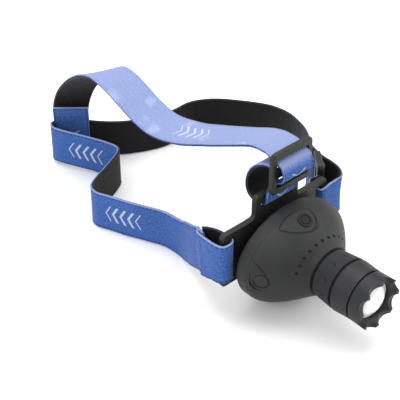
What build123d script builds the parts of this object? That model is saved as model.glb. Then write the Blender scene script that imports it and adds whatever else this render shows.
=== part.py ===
from build123d import *
import os
from math import cos, hypot, radians, sin, sqrt

# Headlamp: a zooming lamp on a tilting housing, a bracket with a forehead pad, and webbing straps.
# The origin is on the rear face of the forehead pad, level with the beam axis.
# The beam shines along -Y, +X is the wearer's left and +Z is up. Depths are measured forward (-Y).

os.makedirs("parts", exist_ok=True)

# Fits and clearances
RUN = 0.3                   # air between curved faces that move past each other
PIN_FIT = 0.05              # radial play of a pin, a button or an O-ring
SEAT = 0.15                 # air round a tongue, a tray or a cell
HINGE_AIR = 0.1             # air round the cover hinge's knuckles

# Bracket and pad
PAD_THICKNESS = 3.0
PAD_WIDTH = 56.0
PAD_HEIGHT = 30.0
PLATE_THICKNESS = 3.0
PLATE_CENTRE_Z = 4.0        # height of the side loops above the beam axis
LOOP_BAR = 4.0              # width of the bars round each strap slot
SLOT_WIDTH = 5.0
STRAP_WIDTH = 25.0
STRAP_THICKNESS = 1.6
TOP_STRAP_WIDTH = 22.0
SLOT_PLAY = 1.0             # how much longer a slot is than its strap is wide, at each end
PLATE_WIDTH = 78.0

# Housing
HOUSING_WIDTH = 71.0
HOUSING_HEIGHT = 54.6
HOUSING_DROP = 1.2          # the housing's middle lies this far below the beam axis
SHELL_WALL = 1.8
REAR_DEPTH = 8.0
DOME_DEPTH = 25.0
NECK_WALL = 1.3             # how far the neck stands out beyond the sleeve
TILT_GAP = 5.0              # air between the plate and the housing's back
TONGUE = 1.6
TONGUE_WALL = 1.0
SEAL_SIZE = 0.8
DIMPLE_RADIUS = 1.0

# Tilt hinge and cover hinge
TILT_RADIUS = 4.0
TILT_PIN_RADIUS = 1.2
KNUCKLE_HALF = 8.5
EAR_THICKNESS = 3.0
COVER_RADIUS = 1.5
COVER_PIN_RADIUS = 0.7
COVER_KNUCKLE = 7.0

# Zoom head
ZOOM_TRAVEL = 7.0
BARREL_RADIUS = 10.9
BARREL_WALL = 2.3
SLEEVE_WALL = 1.7
GRIP_REAR_THICKNESS = 0.7
GRIP_FRONT_THICKNESS = 1.9
HEAD_STEP = 2.1             # how far the head stands out beyond the sleeve
BEZEL_STEP = 0.7            # how far the bezel is drawn in from the head
LENS_SEAT = 3.3             # how far the lens is drawn in from the bezel
LENS_RISE = 4.0
LENS_SHOULDER = 3.8         # thickness of the lens at its flat rim
SHOULDER_GAP = 2.7          # air between the barrel's front and the sleeve's inner shoulder
HEAD_GAP = 1.2              # air between the neck and the retracted head
GRIP_LENGTH = 11.8
HEAD_LENGTH = 10.3
BEZEL_LENGTH = 8.8
SCALLOPS = 8
SCALLOP_RADIUS = 5.0
SCALLOP_DEPTH = 2.5
GRIP_DIMPLES = 10
GRIP_DIMPLE_RADIUS = 2.8
GRIP_DIMPLE_DEPTH = 0.8

# Switch
BUTTON_RADIUS = 4.1
BUTTON_HEIGHT = 2.6
BUTTON_TRAVEL = 0.8
BUTTON_DEPTH = 7.3          # how far in front of the parting line the button's middle lies
PANEL_SLOPE = 30.0

# Cells: three AAA
CELL_RADIUS = 5.25
CELL_LENGTH = 43.3
CELL_NUB = 1.2
CELL_PITCH = 11.0
TRAY_WALL = 1.0
SPRING_ROOM = 1.6
TRAY_HEIGHT = 30.0
BOARD_THICKNESS = 1.2
TACT_HEIGHT = 2.0
PLUNGER_RADIUS = 1.2
RING_SIZE = 1.3

# Slider on the top strap
SLIDER_WIDTH = 29.0
SLIDER_HEIGHT = 25.0
SLIDER_THICKNESS = 2.6
SLIDER_X = 4.0
SLIDER_DEPTH = 10.5
SLIDER_RISE = 20.0          # the slider's middle lies this far above the bracket's top slot
ADJUSTER_CENTRE = (46.0, 7.0, 7.5)
ADJUSTER_TURN = 50.0        # the way the adjuster's length points, turned from +X towards +Y
ADJUSTER_LENGTH = 17.0
ADJUSTER_THICKNESS = 3.6
ADJUSTER_BAR = 3.0
ADJUSTER_END = 4.0          # how far the adjuster stands beyond the strap's edges

# Depths and heights worked out from the sizes above
plate_front = PAD_THICKNESS + PLATE_THICKNESS
barrel_bore = BARREL_RADIUS - BARREL_WALL
sleeve_bore = BARREL_RADIUS + RUN
sleeve_radius = sleeve_bore + SLEEVE_WALL
neck_radius = sleeve_radius + NECK_WALL
grip_rear_radius = sleeve_radius + GRIP_REAR_THICKNESS
grip_front_radius = sleeve_radius + GRIP_FRONT_THICKNESS
head_radius = sleeve_radius + HEAD_STEP
bezel_radius = head_radius - BEZEL_STEP
lens_radius = bezel_radius - LENS_SEAT
rear_face = plate_front + TILT_GAP
parting = rear_face + REAR_DEPTH
neck = parting + DOME_DEPTH
housing_bottom = -HOUSING_DROP - HOUSING_HEIGHT / 2
tilt_z = housing_bottom + TILT_RADIUS
slot_length = STRAP_WIDTH + 2 * SLOT_PLAY
top_slot_length = TOP_STRAP_WIDTH + 2 * SLOT_PLAY
loop_height = slot_length + 2 * LOOP_BAR - 1.0
ear_centre = KNUCKLE_HALF + RUN + EAR_THICKNESS / 2
cell_depth = rear_face + SHELL_WALL + TRAY_WALL + SEAT + CELL_RADIUS
cell_z = [-HOUSING_DROP - CELL_PITCH, -HOUSING_DROP, -HOUSING_DROP + CELL_PITCH]
head_rear = neck + HEAD_GAP
grip_front = head_rear + GRIP_LENGTH
head_front = grip_front + 1.5 + HEAD_LENGTH
bezel_rear = head_front + 1.2
bezel_front = bezel_rear + BEZEL_LENGTH
guide_length = ZOOM_TRAVEL + 2.0
barrel_front = head_rear + guide_length + ZOOM_TRAVEL + 1.9
shoulder_depth = barrel_front + SHOULDER_GAP
ring_depth = head_rear + ZOOM_TRAVEL + 0.4
stop_depth = head_rear + guide_length + ZOOM_TRAVEL + 0.2
cover_z = housing_bottom - COVER_RADIUS + SHELL_WALL - SEAL_SIZE - 0.1

# The dome's outline: share of its depth, and share of the swell beyond the neck that is left there
DOME = [(0.0, 1.0), (0.1, 0.97), (0.26, 0.86), (0.54, 0.56), (0.8, 0.22), (1.0, 0.0)]


def save(piece, node):
    """Label a finished piece and write its STEP file."""
    piece.part.label = node
    export_step(piece.part, "parts/" + node + ".step")


def facing(depth):
    """A plane across the beam at this depth, seen from the front: x is +X and y is +Z."""
    return Plane.XZ.offset(depth)


def across(x, y=0, z=0):
    """A plane that faces +X at this place: its x is +Y and its y is +Z."""
    return Plane(origin=(x, y, z), x_dir=(0, 1, 0), z_dir=(1, 0, 0))


def half_size(share, inset):
    """The dome's half width, half height and middle height where this share of the swell is left."""
    half_width = neck_radius + (HOUSING_WIDTH / 2 - neck_radius) * share - inset
    half_height = neck_radius + (HOUSING_HEIGHT / 2 - neck_radius) * share - inset
    return half_width, half_height, -HOUSING_DROP * share


def dome_share(depth):
    """The share of the swell that is left at this depth, by straight lines between the dome's sections."""
    part_way = (depth - parting) / DOME_DEPTH
    for (start, here), (end, there) in zip(DOME, DOME[1:]):
        if part_way <= end:
            return here + (there - here) * (part_way - start) / (end - start)
    return 0.0


def housing_slab(depth, length, inset, mode=Mode.ADD):
    """A straight oval slab with the housing's outline, drawn in by the inset."""
    with BuildSketch(facing(depth)) as oval:
        with Locations((0, -HOUSING_DROP)):
            Ellipse(HOUSING_WIDTH / 2 - inset, HOUSING_HEIGHT / 2 - inset)
    extrude(oval.sketch, amount=length, mode=mode)


def dome_body(inset, mode=Mode.ADD):
    """The swelling front of the housing, drawn in by the inset."""
    ovals = []
    for part_way, share in DOME:
        half_width, half_height, middle = half_size(share, inset)
        with BuildSketch(facing(parting + part_way * DOME_DEPTH)) as oval:
            with Locations((0, middle)):
                Ellipse(half_width, half_height)
        ovals.append(oval.sketch)
    loft(ovals, mode=mode)


def oval_ring(depth, length, outer, inner, mode=Mode.ADD):
    """A flat oval ring with the housing's outline, between two insets."""
    with BuildSketch(facing(depth)) as ring:
        with Locations((0, -HOUSING_DROP)):
            Ellipse(HOUSING_WIDTH / 2 - outer, HOUSING_HEIGHT / 2 - outer)
            Ellipse(HOUSING_WIDTH / 2 - inner, HOUSING_HEIGHT / 2 - inner, mode=Mode.SUBTRACT)
    extrude(ring.sketch, amount=length, mode=mode)


def disc(depth, length, radius, mode=Mode.ADD):
    """A round slab on the beam axis."""
    with BuildSketch(facing(depth)) as circle:
        Circle(radius)
    extrude(circle.sketch, amount=length, mode=mode)


def cross_rod(x, y, z, radius, length, mode=Mode.ADD):
    """A round rod along X with its middle at x, y, z."""
    with BuildSketch(across(x - length / 2, y, z)) as circle:
        Circle(radius)
    extrude(circle.sketch, amount=length, mode=mode)


def block(centre, size, mode=Mode.ADD):
    """A plain block between two corners worked out from its middle and its size."""
    with Locations(centre):
        Box(*size, mode=mode)


def turned(outline):
    """Turn an outline of (radius, depth) points round the beam axis."""
    with BuildSketch(Plane.XY) as profile:
        with BuildLine():
            Polyline(*[(radius, -depth) for radius, depth in outline], close=True)
        make_face()
    revolve(profile.sketch, axis=Axis.Y)


# ---------------------------------------------------------------------------
# Bracket: one moulded plate with a strap slot at each side and one on top

with BuildPart() as bracket_plate:
    with BuildSketch(facing(PAD_THICKNESS)) as outline:
        with Locations((0, PLATE_CENTRE_Z)):
            Rectangle(PLATE_WIDTH, loop_height)
        with Locations((0, PLATE_CENTRE_Z + loop_height / 2 + 4.5)):
            Rectangle(top_slot_length + 2 * LOOP_BAR, 17)
        with Locations((0, PLATE_CENTRE_Z - loop_height / 2 - 7)):
            Rectangle(2 * (ear_centre + EAR_THICKNESS / 2 + 2), 18)
        fillet(outline.vertices(), radius=2.5)
        side_slot_x = PLATE_WIDTH / 2 - LOOP_BAR - SLOT_WIDTH / 2
        with Locations((-side_slot_x, PLATE_CENTRE_Z), (side_slot_x, PLATE_CENTRE_Z)):
            RectangleRounded(SLOT_WIDTH, slot_length, 1.5, mode=Mode.SUBTRACT)
        top_slot_z = PLATE_CENTRE_Z + loop_height / 2 + 4.5 + 8.5 - LOOP_BAR - SLOT_WIDTH / 2
        with Locations((0, top_slot_z)):
            RectangleRounded(top_slot_length, SLOT_WIDTH, 1.5, mode=Mode.SUBTRACT)
    extrude(amount=PLATE_THICKNESS)
    rim = bracket_plate.faces().sort_by(Axis.Y)[0].outer_wire().edges()
    fillet(rim, radius=0.8)
    for side in (-1, 1):
        ear_x = side * ear_centre - EAR_THICKNESS / 2
        with BuildSketch(across(ear_x)):
            with Locations((-rear_face, tilt_z)):
                Circle(TILT_RADIUS - 0.4)
            with Locations((-plate_front + 1, tilt_z)):
                Rectangle(2, 2 * TILT_RADIUS - 1.4)
            make_hull()
        extrude(amount=EAR_THICKNESS)
    cross_rod(0, -rear_face, tilt_z, TILT_PIN_RADIUS, 60, Mode.SUBTRACT)
save(bracket_plate, "bracket_plate")

with BuildPart() as forehead_pad:
    with BuildSketch(facing(0)):
        with Locations((0, PLATE_CENTRE_Z)):
            RectangleRounded(PAD_WIDTH, PAD_HEIGHT, 6)
    extrude(amount=PAD_THICKNESS)
    fillet(forehead_pad.faces().sort_by(Axis.Y)[-1].edges(), radius=1.2)
save(forehead_pad, "forehead_pad")

with BuildPart() as tilt_pin:
    cross_rod(0, -rear_face, tilt_z, TILT_PIN_RADIUS, 2 * (ear_centre + EAR_THICKNESS / 2))
save(tilt_pin, "tilt_pin")

# ---------------------------------------------------------------------------
# Rear shell: the tilting back half of the housing, which carries the cells

with BuildPart() as rear_shell:
    housing_slab(rear_face, REAR_DEPTH, 0)
    fillet(rear_shell.faces().sort_by(Axis.Y)[-1].edges(), radius=3)
    housing_slab(rear_face + SHELL_WALL, REAR_DEPTH, SHELL_WALL, Mode.SUBTRACT)
    tongue_inset = SHELL_WALL + SEAT + TONGUE_WALL
    oval_ring(parting - TONGUE, TONGUE, SHELL_WALL, tongue_inset)
    oval_ring(parting, TONGUE, SHELL_WALL + SEAT, tongue_inset)
    boss_width = 2 * (ear_centre + EAR_THICKNESS / 2 + 2)
    with BuildSketch(facing(rear_face + 0.8)):
        with Locations((0, tilt_z + 1)):
            Rectangle(boss_width, 9)
        with Locations((0, -HOUSING_DROP)):
            Ellipse(HOUSING_WIDTH / 2 - 0.8, HOUSING_HEIGHT / 2 - 0.8, mode=Mode.INTERSECT)
    extrude(amount=6)
    cross_rod(0, -rear_face, tilt_z, TILT_RADIUS, 2 * KNUCKLE_HALF)
    for side in (-1, 1):
        slot_size = EAR_THICKNESS + 2 * RUN
        cross_rod(side * ear_centre, -rear_face, tilt_z, TILT_RADIUS + RUN, slot_size, Mode.SUBTRACT)
        block((side * ear_centre, -rear_face, tilt_z - TILT_RADIUS),
              (slot_size, 2 * (TILT_RADIUS + RUN), 2 * TILT_RADIUS), Mode.SUBTRACT)
    cross_rod(0, -rear_face, tilt_z, TILT_PIN_RADIUS + PIN_FIT, 60, Mode.SUBTRACT)
    for side in (-1, 1):
        knuckle_x = side * (COVER_KNUCKLE + RUN)
        cross_rod(knuckle_x, -parting, cover_z, COVER_RADIUS, COVER_KNUCKLE)
        block((knuckle_x, -parting + COVER_RADIUS / 2, cover_z + COVER_RADIUS / 2),
              (COVER_KNUCKLE, COVER_RADIUS, COVER_RADIUS))
    cross_rod(0, -parting, cover_z, COVER_RADIUS + HINGE_AIR, COVER_KNUCKLE + 2 * RUN, Mode.SUBTRACT)
    cross_rod(0, -parting, cover_z, COVER_PIN_RADIUS, 60, Mode.SUBTRACT)
save(rear_shell, "rear_shell")

with BuildPart() as housing_seal:
    oval_ring(parting, SEAL_SIZE, SHELL_WALL + SEAT - SEAL_SIZE, SHELL_WALL + SEAT)
save(housing_seal, "housing_seal")

with BuildPart() as cover_pin:
    cross_rod(0, -parting, cover_z, COVER_PIN_RADIUS, 3 * COVER_KNUCKLE)
save(cover_pin, "cover_pin")

# ---------------------------------------------------------------------------
# Cells in their tray

tray_half = CELL_LENGTH / 2 + CELL_NUB / 2 + SPRING_ROOM
tray_rear = rear_face + SHELL_WALL

with BuildPart() as battery_tray:
    block((0, -tray_rear - TRAY_WALL / 2, -HOUSING_DROP),
          (2 * tray_half + 2 * TRAY_WALL, TRAY_WALL, TRAY_HEIGHT))
    for side in (-1, 1):
        block((side * (tray_half + TRAY_WALL / 2), -tray_rear - 5, -HOUSING_DROP),
              (TRAY_WALL, 10, TRAY_HEIGHT))
    for height in (cell_z[0] + CELL_PITCH / 2, cell_z[1] + CELL_PITCH / 2):
        with BuildSketch(across(6 - tray_half)):
            with BuildLine():
                Polyline((-tray_rear - TRAY_WALL / 2, height - 1.8), (-tray_rear - TRAY_WALL - 2, height),
                         (-tray_rear - TRAY_WALL / 2, height + 1.8), close=True)
            make_face()
        extrude(amount=2 * tray_half - 12)
    for height in cell_z:
        cross_rod(0, -cell_depth, height, CELL_RADIUS + SEAT, 2 * tray_half, Mode.SUBTRACT)
save(battery_tray, "battery_tray")


def cell_turn(index):
    """The cells lie head to tail: +1 has its nub towards +X."""
    return 1 if index % 2 == 0 else -1


for index, height in enumerate(cell_z):
    turn = cell_turn(index)
    with BuildPart() as cell:
        cross_rod(-turn * CELL_NUB / 2, -cell_depth, height, CELL_RADIUS, CELL_LENGTH)
        fillet(cell.edges().filter_by(GeomType.CIRCLE), radius=0.6)
        cross_rod(turn * CELL_LENGTH / 2, -cell_depth, height, 1.9, CELL_NUB)
    save(cell, f"battery_{index + 1}")

for side, node in ((-1, "contact_plate_right"), (1, "contact_plate_left")):
    with BuildPart() as contact_plate:
        block((side * (tray_half - 0.2), -cell_depth, -HOUSING_DROP), (0.4, 8, TRAY_HEIGHT - 2))
    save(contact_plate, node)

for index, height in enumerate(cell_z):
    turn = cell_turn(index)
    foot = -turn * (tray_half - 0.4)
    with BuildPart() as spring:
        coil = Plane(origin=(foot, -cell_depth, height), x_dir=(0, 1, 0), z_dir=(turn, 0, 0))
        with BuildSketch(coil):
            Circle(3.4)
            Circle(2.4, mode=Mode.SUBTRACT)
        extrude(amount=0.55)
        with BuildSketch(coil.offset(0.55)):
            Circle(2.8)
            Circle(1.8, mode=Mode.SUBTRACT)
        extrude(amount=0.5)
        with BuildSketch(coil.offset(1.05)):
            Circle(2.2)
            Circle(1.2, mode=Mode.SUBTRACT)
        extrude(amount=SPRING_ROOM - 0.4 - 1.05)
    save(spring, f"contact_spring_{index + 1}")

# ---------------------------------------------------------------------------
# Front shell: the swelling front of the housing, with the switch panel and the neck

panel_share = dome_share(parting + BUTTON_DEPTH)
panel_half_width, panel_half_height, panel_middle = half_size(panel_share, 0)
panel_normal = (0, -sin(radians(PANEL_SLOPE)), cos(radians(PANEL_SLOPE)))
button_z = panel_middle + panel_half_height
button_plane = Plane(origin=(0, -parting - BUTTON_DEPTH, button_z), x_dir=(1, 0, 0),
                     z_dir=panel_normal)


def side_plane(side):
    """The plane of a side panel: its y runs up, and it faces outwards and forwards."""
    slope = radians(PANEL_SLOPE)
    return Plane(origin=(side * panel_half_width, -parting - BUTTON_DEPTH, 0),
                 x_dir=(-side * sin(slope), -cos(slope), 0),
                 z_dir=(side * cos(slope), -sin(slope), 0))


with BuildPart() as front_shell:
    dome_body(0)
    dome_body(SHELL_WALL, Mode.SUBTRACT)
    disc(neck - 6, 6, neck_radius)
    disc(neck - 8, 7, sleeve_radius - 0.5, Mode.SUBTRACT)
    disc(neck - 1, 1, sleeve_bore, Mode.SUBTRACT)
    # Teardrop panels: one on top for the switch, one at each side
    with BuildSketch(button_plane.offset(-0.9)):
        Circle(6.6)
        with Locations((0, 9.5)):
            Circle(0.8)
        make_hull()
    extrude(amount=6, mode=Mode.SUBTRACT)
    for side in (-1, 1):
        with BuildSketch(side_plane(side).offset(-0.7)):
            Circle(6.2)
            with Locations((-5, 11)):
                Circle(0.8)
            make_hull()
        extrude(amount=8, mode=Mode.SUBTRACT)
        with BuildSketch(side_plane(side).offset(-1.2)):
            Circle(4.4)
            Circle(3.6, mode=Mode.SUBTRACT)
        extrude(amount=1, mode=Mode.SUBTRACT)
    # The switch well, closed below by a floor with a hole for the plunger
    well_floor = -0.2 - BUTTON_HEIGHT - BUTTON_TRAVEL
    with BuildSketch(button_plane.offset(well_floor - 1)):
        Circle(BUTTON_RADIUS + 0.9)
    extrude(amount=-well_floor)
    with BuildSketch(button_plane.offset(well_floor)):
        Circle(BUTTON_RADIUS + PIN_FIT)
    extrude(amount=6, mode=Mode.SUBTRACT)
    with BuildSketch(button_plane.offset(well_floor - 3)):
        Circle(PLUNGER_RADIUS + RUN)
    extrude(amount=6, mode=Mode.SUBTRACT)
    # Room for the rear shell's tongue and the seal
    housing_slab(parting, TONGUE + 0.3, SHELL_WALL, Mode.SUBTRACT)
    oval_ring(parting, SEAL_SIZE + 0.1, SHELL_WALL + SEAT - SEAL_SIZE - 0.1, SHELL_WALL + 1, Mode.SUBTRACT)
    # A row of grip dimples on the shoulder above the neck
    dimple_depth = neck - 0.22 * DOME_DEPTH
    dimple_width, dimple_height, dimple_middle = half_size(dome_share(dimple_depth), 0)
    for step in range(11):
        angle = radians(20 + 14 * step)
        spot = (dimple_width * cos(angle), -dimple_depth, dimple_middle + dimple_height * sin(angle))
        with Locations(spot):
            Sphere(DIMPLE_RADIUS, mode=Mode.SUBTRACT)
    # The cover hinge's middle knuckle
    for side in (-1, 1):
        cross_rod(side * (COVER_KNUCKLE + RUN), -parting, cover_z, COVER_RADIUS + HINGE_AIR,
                  COVER_KNUCKLE + 2 * RUN, Mode.SUBTRACT)
    cross_rod(0, -parting, cover_z, COVER_RADIUS, COVER_KNUCKLE)
    block((0, -parting - COVER_RADIUS / 2, cover_z + COVER_RADIUS / 2),
          (COVER_KNUCKLE, COVER_RADIUS, COVER_RADIUS))
    cross_rod(0, -parting, cover_z, COVER_PIN_RADIUS + PIN_FIT, 60, Mode.SUBTRACT)
save(front_shell, "front_shell")

with BuildPart() as switch_button:
    with BuildSketch(button_plane.offset(-0.2 - BUTTON_HEIGHT)):
        Circle(BUTTON_RADIUS)
    extrude(amount=BUTTON_HEIGHT)
    fillet(switch_button.edges().filter_by(GeomType.CIRCLE).sort_by(Axis.Z)[-1], radius=0.5)
    with BuildSketch(button_plane.offset(-0.7)):
        Circle(BUTTON_RADIUS - 1.2)
        Circle(BUTTON_RADIUS - 1.8, mode=Mode.SUBTRACT)
    extrude(amount=2, mode=Mode.SUBTRACT)
    with BuildSketch(button_plane.offset(well_floor - 2)):
        Circle(PLUNGER_RADIUS)
    extrude(amount=2.5 + BUTTON_TRAVEL)
save(switch_button, "switch_button")

with BuildPart() as tact_switch:
    with BuildSketch(button_plane.offset(well_floor - 2 - BUTTON_TRAVEL - 0.1 - TACT_HEIGHT)):
        Rectangle(5, 5)
    extrude(amount=TACT_HEIGHT)
save(tact_switch, "tact_switch")

with BuildPart() as switch_board:
    with BuildSketch(button_plane.offset(well_floor - 2.9 - BUTTON_TRAVEL - TACT_HEIGHT)):
        Rectangle(9, 6)
    extrude(amount=0.8)
save(switch_board, "switch_board")

# ---------------------------------------------------------------------------
# Barrel: the fixed tube that carries the lamp and guides the zoom head

barrel_rear = neck - 10
board_depth = barrel_rear - BOARD_THICKNESS

with BuildPart() as barrel:
    turned([(barrel_bore, barrel_rear), (BARREL_RADIUS, barrel_rear), (BARREL_RADIUS, neck - 5),
            (sleeve_radius - 0.55, neck - 5), (sleeve_radius - 0.55, neck - 1),
            (BARREL_RADIUS, neck - 1), (BARREL_RADIUS, ring_depth),
            (BARREL_RADIUS - 0.8, ring_depth), (BARREL_RADIUS - 0.8, ring_depth + RING_SIZE),
            (BARREL_RADIUS, ring_depth + RING_SIZE), (BARREL_RADIUS, stop_depth),
            (BARREL_RADIUS - 0.7, stop_depth), (BARREL_RADIUS - 0.7, stop_depth + 1),
            (BARREL_RADIUS, stop_depth + 1), (BARREL_RADIUS, barrel_front),
            (barrel_bore, barrel_front)])
save(barrel, "barrel")

with BuildPart() as barrel_seal:
    turned([(BARREL_RADIUS - 0.8, ring_depth), (sleeve_bore - PIN_FIT - 0.2, ring_depth),
            (sleeve_bore - PIN_FIT, ring_depth + 0.3),
            (sleeve_bore - PIN_FIT, ring_depth + RING_SIZE - 0.3),
            (sleeve_bore - PIN_FIT - 0.2, ring_depth + RING_SIZE),
            (BARREL_RADIUS - 0.8, ring_depth + RING_SIZE)])
save(barrel_seal, "barrel_seal")

with BuildPart() as stop_ring:
    disc(stop_depth, 1, sleeve_bore + 0.4)
    disc(stop_depth, 1, BARREL_RADIUS - 0.7, Mode.SUBTRACT)
    block((0, -stop_depth - 0.5, -BARREL_RADIUS), (3, 2, 4), Mode.SUBTRACT)
save(stop_ring, "stop_ring")

with BuildPart() as driver_board:
    disc(board_depth, BOARD_THICKNESS, BARREL_RADIUS + 1.5)
save(driver_board, "driver_board")

with BuildPart() as driver_chip:
    block((-3, -board_depth + 0.75, 2), (5, 1.5, 4))
save(driver_chip, "driver_chip")

with BuildPart() as driver_coil:
    with BuildSketch(facing(board_depth - 2.4)):
        with Locations((4.5, -3)):
            Circle(2.6)
    extrude(amount=2.4)
save(driver_coil, "driver_coil")

with BuildPart() as heat_sink:
    disc(barrel_front - 8, 8 - BOARD_THICKNESS, barrel_bore)
    with BuildSketch(facing(barrel_front - 8)):
        with PolarLocations(6, 2):
            Circle(1)
    extrude(amount=8, mode=Mode.SUBTRACT)
save(heat_sink, "heat_sink")

with BuildPart() as led_board:
    disc(barrel_front - BOARD_THICKNESS, BOARD_THICKNESS, barrel_bore)
save(led_board, "led_board")

with BuildPart() as led:
    block((0, -barrel_front - 0.4, 0), (3.5, 0.8, 3.5))
    with BuildSketch(Plane.XY):
        with BuildLine():
            Polyline((0, -barrel_front - 0.8), (1.5, -barrel_front - 0.8))
            ThreePointArc((1.5, -barrel_front - 0.8),
                          (1.5 * sqrt(0.5), -barrel_front - 0.8 - 1.5 * sqrt(0.5)),
                          (0, -barrel_front - 2.3))
            Line((0, -barrel_front - 2.3), (0, -barrel_front - 0.8))
        make_face()
    revolve(axis=Axis.Y)
save(led, "led")

# ---------------------------------------------------------------------------
# Zoom head: the sleeve with its rubber grip, the lens and the toothed bezel

with BuildPart() as zoom_sleeve:
    turned([(sleeve_bore, head_rear), (sleeve_radius, head_rear), (sleeve_radius, grip_front),
            (sleeve_radius + 0.5, grip_front), (sleeve_radius + 0.5, grip_front + 1.5),
            (head_radius - 0.5, grip_front + 1.5), (head_radius, grip_front + 2),
            (bezel_radius, head_front), (bezel_radius - 1.1, head_front),
            (bezel_radius - 1.1, bezel_rear), (lens_radius - 1, bezel_rear),
            (lens_radius - 1, shoulder_depth), (sleeve_bore + 0.7, shoulder_depth),
            (sleeve_bore + 0.7, head_rear + guide_length), (sleeve_bore, head_rear + guide_length)])
save(zoom_sleeve, "zoom_sleeve")

with BuildPart() as zoom_grip:
    turned([(sleeve_radius, head_rear), (grip_rear_radius - 0.4, head_rear),
            (grip_rear_radius, head_rear + 0.4), (grip_front_radius, grip_front - 0.4),
            (grip_front_radius - 0.4, grip_front), (sleeve_radius, grip_front)])
    # A ring of round finger dimples
    dimple_depth = head_rear + GRIP_LENGTH / 2
    dimple_centre = (grip_rear_radius + grip_front_radius) / 2 + GRIP_DIMPLE_RADIUS - GRIP_DIMPLE_DEPTH
    for step in range(GRIP_DIMPLES):
        angle = radians(360 / GRIP_DIMPLES * (step + 0.2))
        with Locations((dimple_centre * cos(angle), -dimple_depth, dimple_centre * sin(angle))):
            Sphere(GRIP_DIMPLE_RADIUS, mode=Mode.SUBTRACT)
save(zoom_grip, "zoom_grip")

lens_front = bezel_rear + LENS_SHOULDER
ring_front = lens_front + 0.8

with BuildPart() as bezel:
    turned([(lens_radius + 0.1, bezel_rear), (bezel_radius, bezel_rear),
            (bezel_radius + 0.3, bezel_front), (bezel_radius - 1.9, bezel_front),
            (lens_radius - 0.7, ring_front + 1), (lens_radius - 0.7, ring_front),
            (lens_radius + 0.1, ring_front)])
    # Scallops bitten out of the front edge
    for step in range(SCALLOPS):
        turn = radians(360 / SCALLOPS * (step + 0.5))
        bite_depth = bezel_front + SCALLOP_RADIUS - SCALLOP_DEPTH
        bite = Plane(origin=(0, -bite_depth, 0), x_dir=(0, -1, 0), z_dir=(cos(turn), 0, sin(turn)))
        with BuildSketch(bite.offset(lens_radius - 3)):
            Circle(SCALLOP_RADIUS)
        extrude(amount=bezel_radius - lens_radius + 6, mode=Mode.SUBTRACT)
save(bezel, "bezel")

# The lens swells forward as part of a ball
dome_base = lens_radius - 1.4
ball_radius = (dome_base ** 2 + LENS_RISE ** 2) / (2 * LENS_RISE)
half_way = sqrt(ball_radius ** 2 - (dome_base / 2) ** 2) - ball_radius + LENS_RISE

with BuildPart() as lens:
    with BuildSketch(Plane.XY):
        with BuildLine():
            Polyline((0, -bezel_rear), (lens_radius, -bezel_rear), (lens_radius, -lens_front),
                     (dome_base, -lens_front))
            ThreePointArc((dome_base, -lens_front), (dome_base / 2, -lens_front - half_way),
                          (0, -lens_front - LENS_RISE))
            Line((0, -lens_front - LENS_RISE), (0, -bezel_rear))
        make_face()
    revolve(axis=Axis.Y)
save(lens, "lens")

with BuildPart() as lens_seal:
    disc(lens_front, 0.8, lens_radius)
    disc(lens_front, 0.8, lens_radius - 0.9, Mode.SUBTRACT)
save(lens_seal, "lens_seal")

with BuildPart() as ratchet_spring:
    block((0, -plate_front - 0.25, tilt_z), (6, 0.5, 7))
    cross_rod(0, -plate_front - 0.5, tilt_z, 0.25, 6)
save(ratchet_spring, "ratchet_spring")

# ---------------------------------------------------------------------------
# Slider: a three-bar buckle on the top strap

slider_z = top_slot_z + SLIDER_RISE
slider_bar = 3.8
slider_slot = (SLIDER_HEIGHT - 2 * slider_bar - 4.6) / 2
slider_slot_z = 4.6 / 2 + slider_slot / 2

with BuildPart() as strap_slider:
    with BuildSketch(Plane(origin=(SLIDER_X, -SLIDER_DEPTH, slider_z), x_dir=(1, 0, 0), z_dir=(0, -1, 0))):
        RectangleRounded(SLIDER_WIDTH, SLIDER_HEIGHT, 3)
        with Locations((0, slider_slot_z), (0, -slider_slot_z)):
            RectangleRounded(TOP_STRAP_WIDTH + 1.2, slider_slot, 1, mode=Mode.SUBTRACT)
    extrude(amount=SLIDER_THICKNESS / 2, both=True)
    fillet(strap_slider.faces().sort_by(Axis.Y)[0].outer_wire().edges(), radius=0.8)
    # Gripping teeth under the top bar
    teeth_z = slider_z + slider_slot_z + slider_slot / 2
    for step in range(9):
        tooth_x = SLIDER_X + (step - 4) * 2.3
        block((tooth_x, -SLIDER_DEPTH, teeth_z - 0.35), (1.1, SLIDER_THICKNESS - 0.8, 0.9))
save(strap_slider, "strap_slider")

# ---------------------------------------------------------------------------
# Adjuster: a taller three-bar buckle, on edge inside the head strap's left loop

adjuster_way = (cos(radians(ADJUSTER_TURN)), sin(radians(ADJUSTER_TURN)), 0)
adjuster_plane = Plane(origin=ADJUSTER_CENTRE, x_dir=adjuster_way,
                       z_dir=(adjuster_way[1], -adjuster_way[0], 0))
adjuster_slot = (ADJUSTER_LENGTH - 3 * ADJUSTER_BAR) / 2
adjuster_slot_x = (ADJUSTER_BAR + adjuster_slot) / 2

with BuildPart() as strap_adjuster:
    with BuildSketch(adjuster_plane):
        RectangleRounded(ADJUSTER_LENGTH, STRAP_WIDTH + 2 * ADJUSTER_END, 2.5)
        with Locations((adjuster_slot_x, 0), (-adjuster_slot_x, 0)):
            RectangleRounded(adjuster_slot, STRAP_WIDTH + SLOT_PLAY, 1, mode=Mode.SUBTRACT)
    extrude(amount=ADJUSTER_THICKNESS / 2, both=True)
    broad_faces = strap_adjuster.faces().filter_by(adjuster_plane)
    fillet(broad_faces.sort_by(Axis.X)[-1].outer_wire().edges(), radius=0.8)
save(strap_adjuster, "strap_adjuster")

# ---------------------------------------------------------------------------
# Webbing. Each route is a list of chosen places for the middle of the band.


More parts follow.
